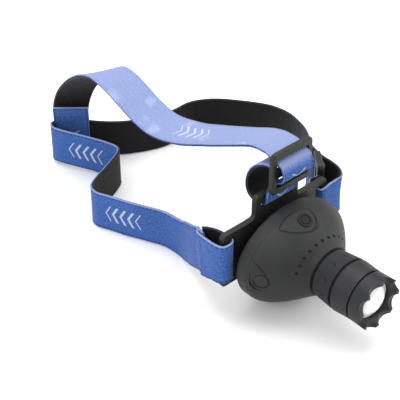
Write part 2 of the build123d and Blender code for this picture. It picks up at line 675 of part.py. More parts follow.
def upright_band(route, width):
    """A band that stands on edge along the route, as a chain of straight slabs."""
    for start, end in zip(route, route[1:]):
        length = hypot(end[0] - start[0], end[1] - start[1])
        along = ((end[0] - start[0]) / length, (end[1] - start[1]) / length, 0)
        with BuildSketch(Plane(origin=start, x_dir=along, z_dir=(along[1], -along[0], 0))) as slab:
            with BuildLine():
                rise = end[2] - start[2]
                Polyline((0, -width / 2), (length, rise - width / 2), (length, rise + width / 2),
                         (0, width / 2), close=True)
            make_face()
        extrude(slab.sketch, amount=STRAP_THICKNESS / 2, both=True)


def lying_band(route, width, leans):
    """A band whose width lies across the route, turned about Z by each leg's lean."""
    for start, end, lean in zip(route, route[1:], leans):
        here = Vector(*start)
        along = Vector(*end) - here
        across_it = Vector(cos(radians(lean)), -sin(radians(lean)), 0)
        face_out = along.cross(across_it).normalized()
        with BuildSketch(Plane(origin=start, x_dir=along.normalized(), z_dir=face_out)) as slab:
            Rectangle(along.length, width, align=(Align.MIN, Align.CENTER))
        extrude(slab.sketch, amount=STRAP_THICKNESS / 2, both=True)


slot_x = PLATE_WIDTH / 2 - LOOP_BAR - SLOT_WIDTH / 2
outer_x = PLATE_WIDTH / 2 + STRAP_THICKNESS
front_y = -plate_front - STRAP_THICKNESS / 2 - RUN
back_y = -PAD_THICKNESS + STRAP_THICKNESS / 2 + RUN

# The wearer's right: a loop sewn round the bracket's bar, then the side run
RIGHT_LOOP = [(-slot_x, back_y + 8, 2), (-slot_x, front_y, 4), (-outer_x, front_y, 4),
              (-outer_x, back_y + 4, 3), (-36, 15, -2), (-slot_x - 1, 16, -2), (-slot_x, back_y + 8, 2)]
RIGHT_RUN = [(-35, 17, -3), (-31, 26, -8), (-26, 36, -14), (-23, 46, -18), (-23, 56, -18),
             (-28, 68, -18), (-33, 80, -18), (-37, 90, -18)]
FOLD_RUN = [(-37, 92, -18), (-40, 98, -18), (-38, 104, -18), (-31, 109, -18), (-20, 114, -18),
            (-9, 119, -18), (-3, 123, -18), (-2, 126, -18), (-3, 132, -18), (-7, 142, -18),
            (-13, 153, -18), (-17, 161, -18)]
REAR_RUN = [(-18, 163, -18), (-18, 169, -18), (-14, 172, -18), (-8, 171, -18), (-1, 163, -18),
            (6, 154, -18), (15, 147, -18), (25, 141, -18), (38, 135, -18), (50, 134, -18)]
LEFT_RUN = [(52, 134, -18), (63, 134, -18), (72, 130, -18), (80, 122, -17), (86, 109, -15),
            (89, 95, -12), (89, 80, -8), (86, 65, -5), (79, 50, -2), (71, 38, 1), (60.5, 25, 4)]
LEFT_LOOP = [(slot_x, back_y + 8, 4), (slot_x, front_y, 4), (outer_x + 7, front_y, 6),
             (outer_x + 10.4, -4, 7), (outer_x + 11.4, 5, 8), (58, 22, 5), (55.5, 22.5, 5),
             (slot_x, back_y + 8, 4)]

for route, node in ((RIGHT_LOOP, "head_strap_loop_right"), (RIGHT_RUN, "head_strap_right"),
                    (FOLD_RUN, "head_strap_fold"), (REAR_RUN, "head_strap_rear"),
                    (LEFT_RUN, "head_strap_left"), (LEFT_LOOP, "head_strap_loop_left")):
    with BuildPart() as strap:
        upright_band(route, STRAP_WIDTH)
    save(strap, node)

# The top strap: a loop through the bracket's top slot, the arch, and a loop round the head strap
bar_z = top_slot_z
TOP_LOOP = [(4, -7.4, bar_z + 21.5), (3.6, 0, bar_z + 20.9), (2.6, 6, bar_z + 16.1),
            (1.8, 7.2, bar_z + 10.1), (1, 3.6, bar_z + 4.5), (1, back_y, bar_z), (1, front_y, bar_z),
            (1.4, front_y, bar_z + 7.5), (2.2, front_y, bar_z + 11.1)]
TOP_FRONT = [(6.5, 5.5, bar_z + 27.1), (4.5, -6, bar_z + 27.3), (4, -8.4, bar_z + 25.9),
             (4, -13, bar_z + 24.1), (4, -13.3, bar_z + 20), (4, -13, bar_z + 15.9),
             (4, -8.2, bar_z + 14.1), (3, -6.6, bar_z + 12.7)]
TOP_ARCH = [(7, 9.5, bar_z + 26.3), (4, 25, 48), (0, 42, 43), (-4, 60, 39), (-7, 80, 36), (-9, 98, 38),
            (-10, 115, 43), (-10, 130, 46), (-10, 140, 44)]
TOP_REAR = [(-10, 142, 43.3), (-9, 150, 38), (-7, 158, 28), (-4, 165, 15),
            (-3, 169, 2), (-2.5, 170, -12), (-2.5, 170, -28)]

for route, node, leans in ((TOP_LOOP, "top_strap_loop", [0] * 8),
                           (TOP_FRONT, "top_strap_front", [0] * 7),
                           (TOP_ARCH, "top_strap_arch", [0] * 8),
                           (TOP_REAR, "top_strap_rear", [5, 15, 28, 38, 42, 42])):
    with BuildPart() as strap:
        lying_band(route, TOP_STRAP_WIDTH, leans)
    save(strap, node)
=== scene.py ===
# %% [markdown]
# # A zooming headlamp with webbing straps
# The hard parts (housing, zoom head, bracket, buckles) come from the CAD frame and keep their exact
# shape. This lesson gives them their finishes, and makes the soft parts: the elastic webbing that
# goes round and over the head, its stitching, and the foam pad.

# %% Load the frame
import math
import bmesh
import bpy
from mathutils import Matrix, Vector, noise


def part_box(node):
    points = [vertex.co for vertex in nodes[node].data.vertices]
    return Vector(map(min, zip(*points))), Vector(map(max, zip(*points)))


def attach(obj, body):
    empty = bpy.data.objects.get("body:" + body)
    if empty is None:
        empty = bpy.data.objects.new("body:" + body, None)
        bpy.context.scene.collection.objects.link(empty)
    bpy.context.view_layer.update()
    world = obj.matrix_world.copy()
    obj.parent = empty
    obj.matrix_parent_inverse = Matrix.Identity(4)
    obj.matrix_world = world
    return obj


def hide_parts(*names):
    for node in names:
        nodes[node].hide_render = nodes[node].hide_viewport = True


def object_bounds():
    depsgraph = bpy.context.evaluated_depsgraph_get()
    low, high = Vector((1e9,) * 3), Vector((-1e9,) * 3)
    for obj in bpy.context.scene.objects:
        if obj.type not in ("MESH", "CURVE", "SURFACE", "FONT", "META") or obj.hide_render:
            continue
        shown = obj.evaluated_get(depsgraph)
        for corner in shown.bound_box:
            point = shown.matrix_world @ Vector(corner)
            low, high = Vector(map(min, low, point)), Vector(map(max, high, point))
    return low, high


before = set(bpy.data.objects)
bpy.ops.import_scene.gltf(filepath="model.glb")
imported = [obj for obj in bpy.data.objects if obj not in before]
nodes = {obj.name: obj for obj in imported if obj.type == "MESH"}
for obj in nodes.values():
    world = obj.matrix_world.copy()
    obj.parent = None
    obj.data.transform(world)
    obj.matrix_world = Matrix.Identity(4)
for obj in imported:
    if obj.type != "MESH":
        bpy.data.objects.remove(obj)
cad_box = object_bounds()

MM = 0.001
print("CAD nodes:", len(nodes), "box:", [tuple(round(v, 4) for v in corner) for corner in cad_box])

# %% [markdown]
# ## Wiring shader nodes by hand is wordy
# Each finish below is a small network. A helper that adds a node, and fills each input with either
# a number or another node's output, keeps every material short enough to read.

# %% Helpers for node networks


class Wiring:
    """Adds nodes to one tree and joins them."""

    def __init__(self, tree):
        self.tree = tree

    def add(self, kind, inputs=None, **settings):
        """A node of this kind. Inputs are given by name or number, as a value or as an output."""
        node = self.tree.nodes.new(kind)
        for name, value in settings.items():
            setattr(node, name, value)
        for name, value in (inputs or {}).items():
            self.feed(node.inputs[name], value)
        return node

    def feed(self, socket, value):
        """Set a socket to a value, or link another node's output to it."""
        if isinstance(value, bpy.types.NodeSocket):
            self.tree.links.new(value, socket)
        else:
            socket.default_value = value

    def math(self, operation, first, second=0.0, third=0.0, clamp=False):
        """The result of one sum."""
        node = self.add("ShaderNodeMath", operation=operation, use_clamp=clamp)
        for socket, value in zip(node.inputs, (first, second, third)):
            self.feed(socket, value)
        return node.outputs[0]

    def spread(self, value, low, high, to_low=0.0, to_high=1.0):
        """The value carried smoothly from one range to another, and held at its ends."""
        node = self.add("ShaderNodeMapRange", interpolation_type="SMOOTHSTEP")
        for socket, number in zip(node.inputs, (value, low, high, to_low, to_high)):
            self.feed(socket, number)
        return node.outputs[0]

    def mix(self, share, first, second):
        """One colour turning into another."""
        node = self.add("ShaderNodeMix", data_type="RGBA")
        self.feed(node.inputs[0], share)
        self.feed(node.inputs[6], first)
        self.feed(node.inputs[7], second)
        return node.outputs[2]

    def noise(self, where, scale, detail=2.0, roughness=0.5):
        """Soft random cloud from 0 to 1."""
        node = self.add("ShaderNodeTexNoise",
                        {"Vector": where, "Scale": scale, "Detail": detail, "Roughness": roughness})
        return node.outputs["Fac"]

    def bump(self, height, strength, distance):
        """A normal pushed about by this height."""
        node = self.add("ShaderNodeBump", {"Height": height, "Strength": strength,
                                           "Distance": distance})
        return node.outputs["Normal"]


def new_group(name, inputs, outputs):
    """An empty shader group with number inputs and number outputs."""
    group = bpy.data.node_groups.new(name, "ShaderNodeTree")
    for socket, value in inputs:
        made = group.interface.new_socket(socket, in_out="INPUT", socket_type="NodeSocketFloat")
        made.default_value = value
    for socket in outputs:
        group.interface.new_socket(socket, in_out="OUTPUT", socket_type="NodeSocketFloat")
    wiring = Wiring(group)
    return group, wiring, wiring.add("NodeGroupInput").outputs, wiring.add("NodeGroupOutput").inputs


def new_material(name, **surface):
    """A material with its Principled BSDF set. Returns the material, its wiring and the shader."""
    material = bpy.data.materials.new(name)
    material.use_nodes = True
    wiring = Wiring(material.node_tree)
    shader = material.node_tree.nodes["Principled BSDF"]
    for socket, value in surface.items():
        shader.inputs[socket.replace("_", " ")].default_value = value
    return material, wiring, shader


def place_group(wiring, group, **inputs):
    """Use a shader group in a material, with its own values."""
    node = wiring.add("ShaderNodeGroup", node_tree=group)
    for socket, value in inputs.items():
        wiring.feed(node.inputs[socket], value)
    return node.outputs


def scaled(colour, share, lift=0.0):
    """The same colour, made lighter or darker."""
    return [min(1.0, channel * share + lift) for channel in colour[:3]] + [1]


# %% [markdown]
# ## Effects that several finishes share
# Moulded plastic is never perfectly smooth: the tool's spark-eroded skin leaves a fine pebble. It
# is modelled as round cells with a finer cloud over them, in real millimetres, so that it has the
# same grain on every part. Handling polishes the edges, and the same edge mask paints a pale
# highlight along them, where light catches a rounded edge. Dust settles on what faces up, and the
# same upward mask paints light on the top of the webbing. Each effect only puts out a mask or a
# height; the material decides what to do with it.

# %% Group: moulded grain
grain_group, w, given, out = new_group("Moulded grain", [("Size mm", 0.35)], ["Height", "Cloud"])
place = w.add("ShaderNodeTexCoord").outputs["Object"]
per_metre = w.math("DIVIDE", 1000.0, given["Size mm"])
pebbles = w.add("ShaderNodeTexVoronoi", {"Vector": place, "Scale": per_metre},
                feature="SMOOTH_F1").outputs["Distance"]
fine = w.noise(place, w.math("MULTIPLY", per_metre, 2.3), 3.0)
w.feed(out["Height"], w.math("ADD", w.math("MULTIPLY", pebbles, 0.7), w.math("MULTIPLY", fine, 0.5)))
w.feed(out["Cloud"], w.noise(place, 60.0, 4.0, 0.6))

# %% Group: edge rubbing and painted edge highlight
edge_rub_and_highlight_group, w, given, out = new_group("Edge rubbing and highlight", [("Reach mm", 0.5), ("Patchiness", 0.5)], ["Mask"])
soft_normal = w.add("ShaderNodeBevel", {"Radius": w.math("MULTIPLY", given["Reach mm"], MM)},
                    samples=4).outputs["Normal"]
true_normal = w.add("ShaderNodeNewGeometry").outputs["Normal"]
agree = w.add("ShaderNodeVectorMath", {0: soft_normal, 1: true_normal},
              operation="DOT_PRODUCT").outputs["Value"]
edge = w.spread(agree, 0.995, 0.86)
place = w.add("ShaderNodeTexCoord").outputs["Object"]
patches = w.spread(w.noise(place, 240.0, 3.0), 0.35, 0.65)
kept = w.math("SUBTRACT", 1.0, w.math("MULTIPLY", given["Patchiness"], patches))
w.feed(out["Mask"], w.math("MULTIPLY", edge, kept, clamp=True))

# %% Group: settled dust and painted top light
dust_and_top_light_group, w, given, out = new_group("Settled dust and top light", [("Amount", 0.3), ("Evenness", 0.0)],
                                         ["Mask"])
facing = w.add("ShaderNodeSeparateXYZ",
               {0: w.add("ShaderNodeNewGeometry").outputs["Normal"]}).outputs["Z"]
place = w.add("ShaderNodeTexCoord").outputs["Object"]
specks = w.spread(w.noise(place, 900.0, 2.0), 0.56, 0.72)
clouds = w.math("MAXIMUM", w.spread(w.noise(place, 70.0, 4.0), 0.3, 0.8), given["Evenness"])
upward = w.spread(facing, 0.1, 0.95)
speck_share = w.math("SUBTRACT", 0.6, w.math("MULTIPLY", given["Evenness"], 0.75))
speckled = w.math("MULTIPLY", specks, speck_share)
# Faces that look up: dust on the plastics, and painted top light on the webbing.
upward_dust_and_light = w.math("MULTIPLY", upward, w.math("ADD", speckled, clouds))
w.feed(out["Mask"], w.math("MULTIPLY", upward_dust_and_light, given["Amount"], clamp=True))
print("shader groups:", [g.name for g in bpy.data.node_groups])

# %% [markdown]
# ## The soft-touch housing
# The two housing shells are moulded and then sprayed with a rubbery, soft-touch lacquer. It has
# almost no gloss, scatters light at grazing angles, and rubs shiny where fingers go. A rough
# Principled surface with a little sheen gives the velvety edge, and the wear mask lowers roughness
# on the corners.

# %% Soft-touch black, satin black and bracket plastic


def plastic(name, colour, roughness, grain_mm, grain_depth, rub_and_highlight_colour, dust, sheen=0.0):
    """A moulded black plastic with grain, rubbed edges lifted by a painted highlight, and a little dust."""
    material, w, shader = new_material(name, Sheen_Weight=sheen, Sheen_Roughness=0.4,
                                       Specular_IOR_Level=0.28)
    grain = place_group(w, grain_group, **{"Size mm": grain_mm})
    rub_and_highlight = place_group(w, edge_rub_and_highlight_group, **{"Reach mm": 0.55})["Mask"]
    dusty = place_group(w, dust_and_top_light_group, Amount=dust)["Mask"]
    tone = w.mix(w.spread(grain["Cloud"], 0.3, 0.7), colour, scaled(colour, 1.35))
    # Painted highlight, partly real rubbing: the edges are lifted towards a paler colour for the light a rounded
    # edge catches.
    rubbed_and_highlighted = w.mix(w.math("MULTIPLY", rub_and_highlight, 0.6), tone, rub_and_highlight_colour)
    w.feed(shader.inputs["Base Color"], w.mix(dusty, rubbed_and_highlighted, (0.42, 0.42, 0.42, 1)))
    uneven = w.spread(grain["Cloud"], 0.2, 0.8, roughness - 0.06, roughness + 0.06)
    w.feed(shader.inputs["Roughness"], w.math("SUBTRACT", uneven, w.math("MULTIPLY", rub_and_highlight, 0.15)))
    w.feed(shader.inputs["Normal"], w.bump(grain["Height"], 0.35, grain_depth * MM))
    return material


soft_black = plastic("soft_touch_black", (0.013, 0.0135, 0.014, 1), 0.6, 0.42, 0.05,
                     (0.035, 0.035, 0.036, 1), dust=0.02, sheen=0.03)
head_black = plastic("satin_black", (0.009, 0.0095, 0.011, 1), 0.48, 0.3, 0.03,
                     (0.03, 0.03, 0.033, 1), dust=0.015)
bracket_black = plastic("bracket_black", (0.011, 0.0115, 0.01, 1), 0.42, 0.5, 0.05,
                        (0.05, 0.052, 0.046, 1), dust=0.02)
grip_rubber = plastic("grip_rubber", (0.009, 0.0095, 0.011, 1), 0.62, 0.35, 0.05,
                      (0.025, 0.025, 0.027, 1), dust=0.015)
print("plastics made")

# %% [markdown]
# ## Pressed teardrop panels
# The front shell has a teardrop panel round the switch and another at each side. Their flat floors
# are in the CAD shape; the crease that borders them is only a shallow pressed line, so it is drawn
# in the finish, as a bump and as painted shade along the line. A group works out, from a place on
# the panel in millimetres, how near it is to a teardrop's outline: half a circle at one end, drawing
# in to a point at the other. The line where the two shells meet is darkened in the same finish.

# %% Group: teardrop crease
crease_group, w, given, out = new_group(
    "Teardrop crease", [("Towards tip mm", 0.0), ("Sideways mm", 0.0), ("Radius mm", 7.0),
                        ("Length mm", 14.0)], ["Line"])
past_middle = w.math("GREATER_THAN", given["Towards tip mm"], 0.0)
extra_length = w.math("SUBTRACT", given["Length mm"], given["Radius mm"])
reach = w.math("ADD", given["Radius mm"], w.math("MULTIPLY", past_middle, extra_length))
share = w.math("DIVIDE", given["Towards tip mm"], reach)
left_over = w.math("MAXIMUM", w.math("SUBTRACT", 1.0, w.math("MULTIPLY", share, share)), 0.0)
fullness = w.math("POWER", left_over, w.math("ADD", 0.5, w.math("MULTIPLY", past_middle, 0.35)))
half_width = w.math("MULTIPLY", fullness, given["Radius mm"])
off_line = w.math("ABSOLUTE", w.math("SUBTRACT", w.math("ABSOLUTE", given["Sideways mm"]), half_width))
near_line = w.spread(off_line, 0.15, 0.75, 1.0, 0.0)
w.feed(out["Line"], w.math("MULTIPLY", near_line, w.math("LESS_THAN", w.math("ABSOLUTE", share), 1.0)))

# %% Front shell finish
front_black = soft_black.copy()
front_black.name = "soft_touch_black_front"
w = Wiring(front_black.node_tree)
shader = front_black.node_tree.nodes["Principled BSDF"]
at = w.add("ShaderNodeSeparateXYZ", {0: w.add("ShaderNodeTexCoord").outputs["Object"]}).outputs
PANEL_DEPTH = 26.3
PANEL_LEAN = math.radians(30)
mm_x, mm_z = w.math("MULTIPLY", at["X"], 1000.0), w.math("MULTIPLY", at["Z"], 1000.0)
mm_back = w.math("MULTIPLY", w.math("ADD", w.math("MULTIPLY", at["Y"], 1000.0), PANEL_DEPTH),
                 1 / math.cos(PANEL_LEAN))


def turned_place(first, second, degrees):
    """Two coordinates turned, so that the first points along the teardrop."""
    cosine, sine = math.cos(math.radians(degrees)), math.sin(math.radians(degrees))
    along = w.math("ADD", w.math("MULTIPLY", first, cosine), w.math("MULTIPLY", second, sine))
    sideways = w.math("SUBTRACT", w.math("MULTIPLY", second, cosine), w.math("MULTIPLY", first, sine))
    return along, sideways


top_along, top_side = turned_place(w.math("MULTIPLY", mm_x, -1.0), mm_back, 17)
side_along, side_side = turned_place(w.math("ADD", mm_z, 0.5), w.math("SUBTRACT", mm_back, 2.8), 32)
top_line = place_group(w, crease_group, **{"Towards tip mm": top_along, "Sideways mm": top_side,
                                           "Radius mm": 7.4, "Length mm": 16.0})["Line"]
side_line = place_group(w, crease_group, **{"Towards tip mm": side_along, "Sideways mm": side_side,
                                            "Radius mm": 6.7, "Length mm": 14.0})["Line"]
on_top = w.math("GREATER_THAN", mm_z, 15.0)
at_side = w.math("GREATER_THAN", w.math("ABSOLUTE", mm_x), 19.0)
crease = w.math("MAXIMUM", w.math("MULTIPLY", top_line, on_top), w.math("MULTIPLY", side_line, at_side))
plain_tone = shader.inputs["Base Color"].links[0].from_socket
plain_normal = shader.inputs["Normal"].links[0].from_socket
parting = w.math("COMPARE", w.math("MULTIPLY", at["Y"], 1000.0), -19.2, 0.35)
# Painted shade in the pressed creases, darkened towards near-black; the parting line between the shells is
# darkened too, as a dark joint.
crease_shade_and_joint_line = w.math("MAXIMUM", w.math("MULTIPLY", crease, 0.75), w.math("MULTIPLY", parting, 0.6))
w.feed(shader.inputs["Base Color"], w.mix(crease_shade_and_joint_line, plain_tone, (0.002, 0.002, 0.002, 1)))
pressed = w.add("ShaderNodeBump", {"Height": crease, "Strength": 0.9, "Distance": 0.45 * MM,
                                   "Normal": plain_normal}, invert=True)
w.feed(shader.inputs["Normal"], pressed.outputs["Normal"])
print("front shell creases made")

# %% [markdown]
# ## Small parts inside and out
# Rubber seals and the push-button are matt, with a faint mottle. Springs, pins and the stop ring are
# drawn steel with faint lines along them. The boards are green lacquer, and the cells have a
# printed wrap between bare steel ends, which is painted by where it lies along the cell.

# %% Rubber, metals, boards and cells


def rubber(name, colour):
    """Matt rubber with a faint mottle."""
    material, w, shader = new_material(name, Specular_IOR_Level=0.35)
    grain = place_group(w, grain_group, **{"Size mm": 0.25})
    w.feed(shader.inputs["Base Color"], w.mix(grain["Cloud"], colour, scaled(colour, 1.6)))
    w.feed(shader.inputs["Roughness"], w.spread(grain["Cloud"], 0.2, 0.8, 0.62, 0.8))
    w.feed(shader.inputs["Normal"], w.bump(grain["Height"], 0.3, 0.03 * MM))
    return material


def metal(name, colour, roughness):
    """Bare metal with turning marks and a slight tarnish."""
    material, w, shader = new_material(name, Metallic=1.0)
    place = w.add("ShaderNodeTexCoord").outputs["Object"]
    stretched = w.add("ShaderNodeMapping", {"Vector": place, "Scale": (1, 60, 1)}).outputs[0]
    lines = w.noise(stretched, 400.0, 3.0)
    tarnish = w.noise(place, 90.0, 4.0)
    w.feed(shader.inputs["Base Color"],
           w.mix(w.spread(tarnish, 0.4, 0.7), colour, scaled(colour, 0.75)))
    w.feed(shader.inputs["Roughness"], w.spread(lines, 0.3, 0.7, roughness - 0.08, roughness + 0.12))
    w.feed(shader.inputs["Normal"], w.bump(lines, 0.2, 0.01 * MM))
    return material


button_rubber = rubber("button_rubber", (0.006, 0.006, 0.007, 1))
seal_rubber = rubber("seal_rubber", (0.012, 0.012, 0.012, 1))
steel = metal("spring_steel", (0.62, 0.62, 0.6, 1), 0.28)
aluminium = metal("turned_aluminium", (0.72, 0.73, 0.75, 1), 0.34)

board_green, w, shader = new_material("board_lacquer", Coat_Weight=0.4)
where = w.add("ShaderNodeTexCoord").outputs["Object"]
tracks = w.add("ShaderNodeTexBrick", {"Vector": where, "Scale": 220.0, "Mortar Size": 0.03,
                                      "Color1": (0.008, 0.09, 0.035, 1), "Mortar": (0.03, 0.2, 0.09, 1),
                                      "Color2": (0.01, 0.11, 0.045, 1)})
w.feed(shader.inputs["Base Color"], tracks.outputs["Color"])
w.feed(shader.inputs["Roughness"], w.spread(tracks.outputs["Fac"], 0, 1, 0.3, 0.45))

cell_wrap, w, shader = new_material("cell_wrap")
where = w.add("ShaderNodeSeparateXYZ", {0: w.add("ShaderNodeTexCoord").outputs["Object"]}).outputs
from_middle = w.math("ABSOLUTE", where["X"])
bare = w.spread(from_middle, 20.6 * MM, 20.8 * MM)
band = w.spread(where["X"], -8.2 * MM, -8.0 * MM)
wrap_colour = w.mix(band, (0.45, 0.03, 0.04, 1), (0.02, 0.16, 0.06, 1))
w.feed(shader.inputs["Base Color"], w.mix(bare, wrap_colour, (0.65, 0.65, 0.63, 1)))
w.feed(shader.inputs["Metallic"], bare)
w.feed(shader.inputs["Roughness"],
       w.spread(w.noise(w.add("ShaderNodeTexCoord").outputs["Object"], 300.0), 0.3, 0.7, 0.25, 0.4))

led_face, w, shader = new_material("led_phosphor", Emission_Strength=2.0)
where = w.add("ShaderNodeTexCoord").outputs["Object"]
w.feed(shader.inputs["Base Color"],
       w.mix(w.noise(where, 1500.0), (0.95, 0.85, 0.3, 1), (1, 0.95, 0.6, 1)))
w.feed(shader.inputs["Emission Color"],
       w.mix(w.noise(where, 900.0), (1, 0.98, 0.9, 1), (1, 1, 1, 1)))
print("small finishes made")

# %% [markdown]
# ## The lens
# A zoom lamp has a thick plano-convex lens, which gathers the light of the room and shows it as a
# bright disc. Clear glass alone would look black against a black tube, so the lens is mostly a milky,
# glossy solid with some transmission, and a trace of glow stands in for the light it gathers.

# %% Lens glass
lens_glass, w, shader = new_material("lens_glass", Transmission_Weight=0.3, IOR=1.49,
                                     Coat_Weight=0.6, Metallic=0.0, Emission_Strength=0.07)
where = w.add("ShaderNodeTexCoord").outputs["Object"]
haze = w.spread(w.noise(where, 120.0, 3.0), 0.3, 0.8)
w.feed(shader.inputs["Base Color"], w.mix(haze, (0.97, 0.97, 0.98, 1), (0.92, 0.92, 0.93, 1)))
w.feed(shader.inputs["Emission Color"], w.mix(haze, (1, 0.99, 0.97, 1), (0.9, 0.92, 0.95, 1)))
w.feed(shader.inputs["Roughness"], w.spread(haze, 0, 1, 0.08, 0.2))

# %% [markdown]
# ## Give each CAD node its finish
# The nodes already have the right shape, so their meshes stay as they are. The edge mask inside each
# plastic gives the moulded edges a thin pale line. Part of it is rubbing from handling, and part is a
# painted highlight for the light that a rounded edge catches.

# %% Finishes for the carried-over nodes
finishes = [
    (front_black, ["front_shell"]),
    (soft_black, ["rear_shell"]),
    (grip_rubber, ["zoom_grip"]),
    (head_black, ["zoom_sleeve", "bezel", "battery_tray", "driver_chip", "driver_coil",
                  "tact_switch"]),
    (bracket_black, ["bracket_plate", "strap_slider", "strap_adjuster"]),
    (button_rubber, ["switch_button"]),
    (seal_rubber, ["housing_seal", "barrel_seal", "lens_seal"]),
    (steel, ["tilt_pin", "cover_pin", "ratchet_spring", "stop_ring", "contact_plate_left",
             "contact_plate_right", "contact_spring_1", "contact_spring_2", "contact_spring_3"]),
    (aluminium, ["barrel", "heat_sink"]),
    (board_green, ["driver_board", "led_board", "switch_board"]),
    (cell_wrap, ["battery_1", "battery_2", "battery_3"]),
    (led_face, ["led"]),
    (lens_glass, ["lens"]),
]
for material, names in finishes:
    for name in names:
        for place in nodes[name].material_slots:
            place.material = material
print("finished nodes:", sum(len(names) for _, names in finishes))

# %% [markdown]
# ## Webbing: the idea
# The straps are elastic webbing, 25 mm round the head and 22 mm over it. A band could be a flat
# ribbon with a thickness modifier, but then its edges would be knife-sharp. Here each band is a
# closed section, a flat lozenge with a fat rounded edge cord, carried along a smooth route. The
# routes follow the CAD bands within a few millimetres, and soften their corners. At each place a
# lean and a roll say which way the width points. Each point keeps how far along and across the band
# it lies, so the weave can follow every fold.

# %% Routes for the webbing
STRAP_WIDTH = 25.0
TOP_WIDTH = 22.0
THICKNESS = 1.5

# x, y, z, and the lean of the upright width away from upright, in degrees
RIGHT_LOOP_ROUTE = [
    (-33.2, 12, 1.8, 0), (-32.2, 8.6, 2.6, 0), (-31.6, 3, 3.6, 0), (-31.7, -2, 4, 0),
    (-32.4, -5.6, 4, 0), (-34.4, -7.4, 4, 0), (-37.2, -7.6, 4, 0), (-40, -6.9, 4, 0),
    (-41.3, -3.6, 4, 0), (-41.3, 2, 3.6, 0), (-39.9, 8, 1.6, 0), (-38, 12.7, -0.4, 1)]
HEAD_ROUTE = [
    (-38.4, 7.6, 1.6, 0), (-36.5, 12.2, 0, 1), (-35.4, 15, -1.4, 2), (-33.9, 18, -3, 2),
    (-31.6, 24, -6.5, 2), (-29, 30, -10, 1), (-25.4, 38, -15, 0),
    (-23, 47, -17.6, 0), (-23.6, 57, -17.9, 0), (-28, 68, -17.9, 0), (-33, 79, -17.9, 0),
    (-37, 90, -17.9, 0), (-40, 98, -17.9, 0), (-38, 104.5, -17.9, 0), (-31, 109, -17.9, 0),
    (-20, 113.6, -17.9, 0), (-9, 118.6, -17.9, 0), (-3.4, 122.4, -17.9, 0), (-1.9, 126.5, -17.9, 0),
    (-3.4, 133, -17.9, 0), (-7.4, 142, -17.4, 0), (-13, 152.6, -16.6, 0), (-17.2, 161, -16.2, 0),
    (-18.6, 167.5, -16.2, 0), (-15.5, 171.6, -16.2, 0), (-9.5, 170.2, -16.2, 0), (-2, 163.4, -16.2, 0),
    (6, 154.4, -16.8, 0), (15, 147, -17.6, 0), (25, 141, -17.9, 0), (38, 135.4, -17.9, 0),
    (51, 133.4, -17.9, 0), (63, 133.4, -17.9, 0), (72, 130, -17.7, 0), (80, 122, -17, 0),
    (86, 109, -15, 0), (89, 95, -12, 0), (89, 80, -8, 0), (86, 65, -5, 0), (79, 50, -2, 0),
    (71, 38, 1, 0), (61.5, 26.4, 3.6, 0), (57, 18, 5.4, 0), (54, 10, 7, 0), (52.6, 3, 8, 0),
    (51.6, -3, 7.4, 0), (49.2, -6.6, 6.4, 0), (45, -7.5, 5.6, 0), (40, -7.4, 5, 0),
    (36.4, -7.5, 4.4, 0), (33.6, -6.8, 4, 0), (32.4, -3.6, 4, 0), (33, 0.4, 4.2, 0), (36.4, 2.2, 5, 0), (40.2, 1.6, 5.8, 0),
    (43.6, 2.6, 6.6, 0), (47.6, 4.6, 7, 0), (49.6, 8, 7, 0), (49, 11.4, 6.8, 0), (49.4, 15, 6, 0),
    (53.4, 20.4, 5, 0), (57.2, 24.4, 4.2, 0)]

# x, y, z, and how far the lying width leans back (about Z) and rolls up at its +X end, in degrees
TOP_ROUTE = [
    (-7.2, 163.4, 6.4, 42, 0), (-6.5, 164.2, -1, 42, 0), (-5.9, 165, -12, 42, 0),
    (-5.9, 165, -24, 42, 0), (-5.2, 166, -28.8, 42, 0), (-3.4, 168.4, -29.3, 42, 0), (-2.4, 169.8, -27, 42, 0),
    (-2.3, 170, -18, 42, 0), (-2.4, 170, -6, 42, 0), (-3, 168.4, 4, 41, 2), (-3.6, 162.8, 16, 39, 4),
    (-4.6, 153.6, 27.5, 38, 7), (-5.4, 143.6, 37, 36, 7), (-6, 134, 43.6, 32, 6),
    (-6.6, 124, 47.4, 26, 5), (-7.2, 113, 47.2, 16, 7), (-7.4, 102, 43.6, 6, 10),
    (-7.2, 90.5, 38.6, 1, 11), (-6.2, 76, 35, 0, 10), (-4, 58, 37.4, 0, 8), (-0.6, 42, 42.2, 0, 5),
    (3.4, 26, 47.6, 0, 2), (6.3, 11, 53, 0, 0), (5.6, 0, 55, 0, 0),
    (4.6, -5.6, 54.9, 0, 0), (4, -9.6, 53.8, 0, 0), (4, -13.6, 52.2, 0, 0), (4, -15.4, 48.4, 0, 0),
    (4, -14.6, 44.4, 0, 0), (3.9, -10.6, 41.8, 0, 0), (3.2, -8, 38.8, 0, 0), (1.8, -7.2, 34, 0, 0),
    (1, -7.1, 30.5, 0, 0), (1, -6.6, 28.2, 0, 0), (1, -4.4, 27.2, 0, 0), (1, -1, 26.4, 0, 0),
    (1, 2.6, 26.2, 0, 0), (1.2, 6, 27.6, 0, 0), (1.6, 8.2, 31.4, 0, 0), (2.2, 8.2, 37.4, 0, 0),
    (3, 5.4, 43.4, 0, 0), (3.6, 0.6, 47.4, 0, 0), (4, -4, 48.9, 0, 0), (4, -7.4, 48.9, 0, 0)]

# %% A smooth run through the chosen places


def smooth_run(route, step):
    """Places about one step apart on a smooth curve through the route, each with its turns."""
    places = [Vector(p) if len(p) < 4 else p for p in route]
    run = []
    for index in range(len(places) - 1):
        before = places[max(index - 1, 0)]
        here, there = places[index], places[index + 1]
        after = places[min(index + 2, len(places) - 1)]
        count = max(2, round(math.dist(here[:3], there[:3]) / step))
        for part in range(count):
            t = part / count
            run.append([0.5 * (2 * b + (c - a) * t + (2 * a - 5 * b + 4 * c - d) * t ** 2
                               + (3 * b - a - 3 * c + d) * t ** 3)
                        for a, b, c, d in zip(before, here, there, after)])
    run.append(list(places[-1]))
    return run


